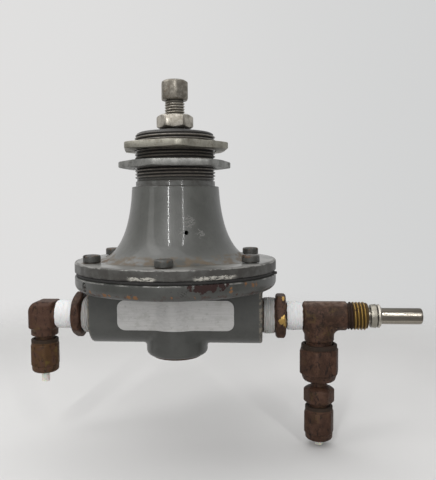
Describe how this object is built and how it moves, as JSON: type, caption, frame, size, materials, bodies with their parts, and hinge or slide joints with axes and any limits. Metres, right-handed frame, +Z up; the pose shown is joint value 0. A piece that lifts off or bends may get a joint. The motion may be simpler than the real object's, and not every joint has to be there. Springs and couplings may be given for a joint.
{
  "type": "air pressure regulator",
  "caption": "Bell-shaped diaphragm regulator that sets air pressure with a spring and adjusting screw, with a threaded panel neck and tube fittings on its side ports.",
  "frame": {"origin": "centre of the bottom plug's outer face, on the adjusting screw's axis", "axes": "+Z up the adjusting screw, +X along the port axis towards the run tee, -Y towards the label"},
  "size_m": [0.1585, 0.0806, 0.1457],
  "materials": {
    "enamel": "semi-gloss grey machine enamel, chipped at the edges",
    "label": "satin foil",
    "plated": "dull zinc plate",
    "steel": "worn bright steel",
    "nickel": "turned stainless steel",
    "brass": "machined brass",
    "patina": "dark brown patina, brass at the worn corners",
    "rubber": "fabric-reinforced rubber",
    "tape": "matt thread tape",
    "nylon": "natural nylon"
  },
  "bodies": {
    "housing": {"body": "enamel", "bonnet": "enamel", "label": "label", "passage_plug": "plated", "diaphragm": "rubber", "bottom_plug": "brass", "bottom_plug_seal": "rubber", "bonnet_screw_1": "plated", "bonnet_screw_2": "plated", "bonnet_screw_3": "plated", "bonnet_screw_4": "plated", "bonnet_screw_5": "plated", "bonnet_screw_6": "plated", "range_spring": "steel", "valve_seat": "brass", "valve_spring": "steel", "left_port_tape": "tape", "left_bushing": "patina", "left_elbow_tape": "tape", "left_elbow": "patina", "left_tube_nut": "patina", "left_front_ferrule": "brass", "left_back_ferrule": "brass", "left_tube": "nylon", "right_port_tape": "tape", "right_bushing": "patina", "right_tee_tape": "tape", "run_tee": "patina", "run_front_ferrule": "nickel", "run_back_ferrule": "nickel", "run_plug": "nickel", "branch_nut": "patina", "branch_front_ferrule": "brass", "branch_back_ferrule": "brass", "reducer": "patina", "lower_tube_nut": "patina", "lower_front_ferrule": "brass", "lower_back_ferrule": "brass", "lower_tube": "nylon"},
    "button": {"spring_button": "steel"},
    "screw": {"adjusting_screw": "steel"},
    "locknut": {"jam_nut": "steel"},
    "lower_panel_nut": {"panel_nut_lower": "plated"},
    "upper_panel_nut": {"panel_nut_upper": "plated"},
    "diaphragm_hub": {"pressure_plate": "plated", "relief_seat": "brass", "hub_nut": "brass"},
    "plunger": {"valve_plunger": "brass"}
  },
  "joints": [
    {"name": "screw_travel", "type": "slide", "parent": "housing", "child": "button", "axis": [0, 0, 1], "range_m": [-0.00425, 0.00213], "deforming": ["range_spring"]},
    {"name": "screw_turn", "type": "hinge", "parent": "button", "child": "screw", "pos_m": [0, 0, 0], "axis": [0, 0, 1], "range_deg": [-1440, 720]},
    {"name": "locknut_turn", "type": "hinge", "parent": "housing", "child": "locknut", "pos_m": [0, 0, 0], "axis": [0, 0, 1], "range_deg": [0, 90]},
    {"name": "lower_nut_slide", "type": "slide", "parent": "housing", "child": "lower_panel_nut", "axis": [0, 0, 1], "range_m": [-0.0042, 0]},
    {"name": "upper_nut_slide", "type": "slide", "parent": "housing", "child": "upper_panel_nut", "axis": [0, 0, 1], "range_m": [-0.004, 0.004]},
    {"name": "diaphragm_stroke", "type": "slide", "parent": "housing", "child": "diaphragm_hub", "axis": [0, 0, 1], "range_m": [-0.0012, 0], "stiffness_N_per_m": 800, "springref_m": 0.002, "deforming": ["diaphragm"]},
    {"name": "plunger_stroke", "type": "slide", "parent": "housing", "child": "plunger", "axis": [0, 0, 1], "range_m": [-0.0012, 0], "deforming": ["valve_spring"]}
  ],
  "couplings": [
    {"joint": "screw_travel", "follows": "screw_turn", "m_per_rad": 0.00016843},
    {"joint": "plunger_stroke", "follows": "diaphragm_stroke", "ratio": 1}
  ]
}
